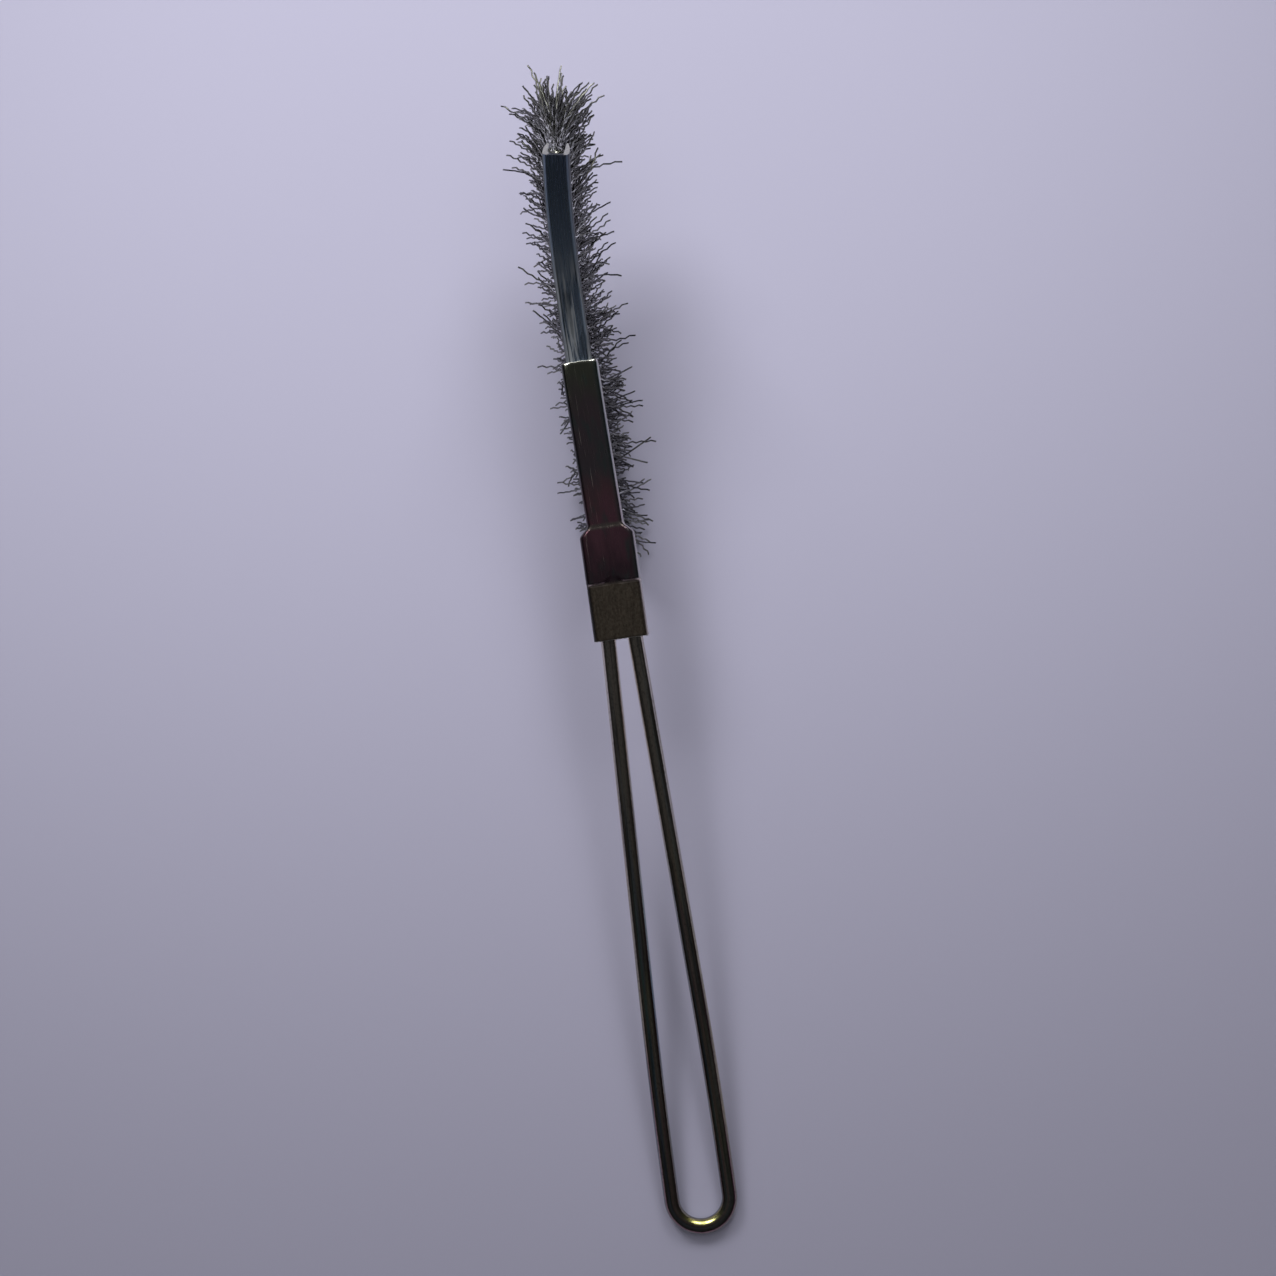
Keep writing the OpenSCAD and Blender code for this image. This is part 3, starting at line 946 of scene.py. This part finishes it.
    # a slow random bow and a curl near the tip
    bow = n.math("SINE", n.times(t, n.random(3.0, 7.0, wire, 32)))
    bow = n.times(n.times(bow, t), n["wander"])
    curl = n.times(n.power(t, 4.0), n["wander"])
    wander_x = n.times(bow, n.random(-1.0, 1.0, wire, 33))
    wander_x = n.plus(wander_x, n.times(curl, n.random(-1.4, 1.4, wire, 34)))
    wander_y = n.times(bow, n.random(-1.0, 1.0, wire, 35))
    wander_y = n.plus(wander_y, n.times(curl, n.random(-1.4, 1.4, wire, 36)))

    # the channel's walls squeeze the legs together under the core, some of them across the middle
    squeeze = n.times(n.smaller(n.times(t, 9.0), 1.0), n.random(0.35, 1.4, wire, 4))
    fold_x = n.times(fold_x, n.minus(1.0, squeeze))
    x = n.plus(n.plus(fold_x, leg_x), n.plus(kink_x, wander_x))
    y = n.plus(leg_y, n.plus(kink_y, wander_y))
    z = n.minus(fold_z, leg_z)

    # lean at both ends of the strip, then the strip's own slope
    near_rear = n.over(n.larger(n.minus(n["rear_fan"], s), 0.0), n["rear_fan"])
    lean = n.times(n["tip_lean"], n.power(near_tip, 2.0))
    lean = n.minus(lean, n.times(n["rear_lean"], n.power(near_rear, 2.0)))
    slope = n.over(n.larger(n.minus(s, n["straight"]), 0.0), n["bend_radius"])

    def turned(vector, angle):
        values = {"Vector": vector, "Angle": angle}
        return n.add("ShaderNodeVectorRotate", values, rotation_type="X_AXIS").outputs[0]

    def moved(vector, offset):
        return n.add("ShaderNodeVectorMath", {0: vector, 1: offset}, operation="ADD").outputs[0]

    local = turned(n.vector(x, y, z), lean)
    local = moved(local, n.vector(0.0, 0.0, n.times(n["core_depth"], -1.0)))
    local = turned(local, slope)
    root_y = n.times(n["bend_radius"], n.math("SINE", slope))
    root_y = n.plus(root_y, n.smaller(s, n["straight"]))
    root_z = n.times(n["bend_radius"], n.minus(1.0, n.math("COSINE", slope)))
    reach = n.power(n.over(s, n["strip_length"]), 4.0)
    root_x = n.plus(n.times(s, n["set_lean"]), n.times(reach, n["set_tip"]))
    local = moved(local, n.vector(root_x, root_y, root_z))

    shaped = n.add("GeometryNodeSetPosition", {"Geometry": lines, "Position": local}).outputs[0]
    tinted = n.add(
        "GeometryNodeStoreNamedAttribute",
        {"Geometry": shaped, "Name": "tint", "Value": n.random(n["shine"], 1.0, wire, 40)},
        data_type="FLOAT",
    ).outputs[0]
    unrolled = n.vector(wire, n.random(0.0, 50.0, wire, 41), point)
    marked = n.add(
        "GeometryNodeStoreNamedAttribute",
        {"Geometry": tinted, "Name": "unrolled", "Value": unrolled},
        data_type="FLOAT_VECTOR",
    ).outputs[0]
    curves = n.add("GeometryNodeMeshToCurve", {"Mesh": marked}).outputs[0]
    # a three-sided tube looks as wide as the round wire when its corners lie a quarter further out
    corner = n.times(n["wire_radius"], 1.25)
    section = n.add("GeometryNodeCurvePrimitiveCircle", {"Resolution": 3, "Radius": corner})
    tubes = n.add(
        "GeometryNodeCurveToMesh",
        {"Curve": curves, "Profile Curve": section.outputs[0], "Fill Caps": True},
    ).outputs[0]
    in_place = n.add(
        "GeometryNodeTransform",
        {"Geometry": tubes, "Translation": n["placing"], "Rotation": n["turning"]},
    )
    return n.finish(in_place.outputs[0])


ON_OPEN_STRIP = dict(
    count=150, shine=0.0, splay_mean=0.23, splay_bias=0.05, tuft_spread=0.11, stray=0.8
)
IN_FERRULE = dict(
    count=130, shine=0.0, splay_mean=0.16, splay_bias=0.08, tuft_spread=0.15, stray=0.8
)
# painted light: the wires at the tip take only the lighter tints, so they look lit and carry more painted
# glints
AT_TIP = dict(
    count=230, shine=0.5, splay_mean=0.19, splay_bias=0.05, tuft_spread=0.11, stray=0.45
)

bristle_tree = bristle_nodes()
bristle_material = bristle_steel()

for g in range(GROUPS):
    at_tip = g >= GROUPS - 2
    in_ferrule = (g + 0.5) * GROUP_LEN < FRONT_LEN
    group = shape_from(
        f"crimped_bristles_{g + 1:02d}",
        bristle_tree,
        bpy.data.meshes.new("bristle_base"),
        **(AT_TIP if at_tip else IN_FERRULE if in_ferrule else ON_OPEN_STRIP),
        start=(FIRST_WIRE + g * GROUP_LEN) * MM,
        end=(FIRST_WIRE + (g + 1) * GROUP_LEN) * MM,
        placing=tuple(STRIP.translation),
        turning=tuple(STRIP.to_euler()),
        seed=g * 50 + 1,
        material=bristle_material,
    )
    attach(group, "root")
    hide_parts(f"bristles_{g + 1:02d}")

# ---- floor, light and camera ----

FLOOR_SIZE = 3.0
FLOOR_COLOUR = (0.582, 0.572, 0.757)
LIGHTEST = (0.0, 0.12, 0.0)         # where the floor is lightest
OVAL = (0.8, 1.0, 1.0)              # the shading reaches further to the sides

LENS = 56.43
CAMERA_TURN = (10.48, 2.71, -7.69)  # degrees
CAMERA_TARGET = (2.95, 3.0, 13.0)   # millimetres
CAMERA_DISTANCE = 396.5


def pale_floor():
    """Pale board with painted light: lighter behind the brush tip and darker towards its far corners"""
    material = bpy.data.materials.new("pale_floor")
    material.use_nodes = True
    nodes = Nodes(material.node_tree)
    place = nodes.add("ShaderNodeTexCoord").outputs["Object"]
    centred = nodes.add("ShaderNodeVectorMath", {0: place, 1: LIGHTEST}, operation="SUBTRACT").outputs[0]
    oval = nodes.add("ShaderNodeVectorMath", {0: centred, 1: OVAL}, operation="MULTIPLY").outputs[0]
    distance = nodes.add("ShaderNodeVectorMath", {0: oval}, operation="LENGTH").outputs["Value"]
    shade = nodes.add(
        "ShaderNodeMapRange",
        {"Value": distance, "From Min": 0.04, "From Max": 0.30, "To Min": 1.05, "To Max": 0.665},
        interpolation_type="SMOOTHSTEP",
    ).outputs[0]
    tint = nodes.add("ShaderNodeVectorMath", {0: FLOOR_COLOUR, "Scale": shade}, operation="SCALE")
    shader = material.node_tree.nodes["Principled BSDF"]
    nodes.put(shader.inputs["Base Color"], tint.outputs[0])
    shader.inputs["Roughness"].default_value = 0.7
    shader.inputs["Specular IOR Level"].default_value = 0.2
    return material


def make_floor():
    half = FLOOR_SIZE / 2
    corners = [(-half, -half, 0), (half, -half, 0), (half, half, 0), (-half, half, 0)]
    mesh = bpy.data.meshes.new("floor")
    mesh.from_pydata(corners, [], [(0, 1, 2, 3)])
    mesh.materials.append(pale_floor())
    floor = bpy.data.objects.new("floor", mesh)
    bpy.context.scene.collection.objects.link(floor)


def soft_light(name, azimuth, elevation, distance, size, power):
    """A soft box that faces the brush. Azimuth is from +Y, towards +X"""
    light = bpy.data.lights.new(name, "AREA")
    light.shape = "RECTANGLE"
    light.size, light.size_y = size
    light.energy = power
    light.color = (1.0, 0.99, 0.97)
    lamp = bpy.data.objects.new(name, light)
    a, e = math.radians(azimuth), math.radians(elevation)
    toward = Vector((math.sin(a) * math.cos(e), math.cos(a) * math.cos(e), math.sin(e)))
    lamp.location = toward * distance
    lamp.rotation_euler = toward.to_track_quat("Z", "Y").to_euler()
    bpy.context.scene.collection.objects.link(lamp)
    return lamp


def dim_surroundings():
    """A dim, slightly blue room, darker towards the horizon, with a plain pale wall behind the floor"""
    world = bpy.data.worlds.new("dim_room")
    world.use_nodes = True
    nodes = Nodes(world.node_tree)
    toward = nodes.add("ShaderNodeTexCoord").outputs["Generated"]
    height = nodes.parts(toward)["Z"]
    strength = nodes.add(
        "ShaderNodeMapRange",
        {"Value": height, "From Min": 0.0, "From Max": 0.8, "To Min": 0.005, "To Max": 0.041},
    ).outputs[0]
    seen = nodes.add("ShaderNodeLightPath").outputs["Is Camera Ray"]
    strength = nodes.larger(strength, nodes.times(seen, 0.42))
    background = world.node_tree.nodes["Background"]
    background.inputs["Color"].default_value = (0.94, 0.95, 1.0, 1.0)
    nodes.put(background.inputs["Strength"], strength)
    bpy.context.scene.world = world


def make_camera():
    """Above the handle's side, a little to the right, turned so that the brush leans to the left"""
    data = bpy.data.cameras.new("camera")
    data.sensor_width = 36.0
    data.lens = LENS
    camera = bpy.data.objects.new("camera", data)
    turn = Euler([math.radians(angle) for angle in CAMERA_TURN], "XYZ")
    target = Vector(CAMERA_TARGET) * MM
    camera.location = target + turn.to_matrix() @ Vector((0, 0, CAMERA_DISTANCE * MM))
    camera.rotation_euler = turn
    bpy.context.scene.collection.objects.link(camera)
    bpy.context.scene.camera = camera


make_floor()
dim_surroundings()
soft_light("left_window", azimuth=-26, elevation=45, distance=0.62, size=(0.19, 0.19), power=1.11)
soft_light("right_window", azimuth=26, elevation=45, distance=0.62, size=(0.19, 0.19), power=0.70)
soft_light("far_wall", azimuth=0, elevation=36, distance=0.80, size=(0.85, 0.50), power=1.40)
ceiling = soft_light("ceiling", azimuth=0, elevation=82, distance=1.1, size=(1.2, 1.2), power=3.9)
ceiling.visible_glossy = False
make_camera()
bpy.context.scene.view_settings.view_transform = "Standard"
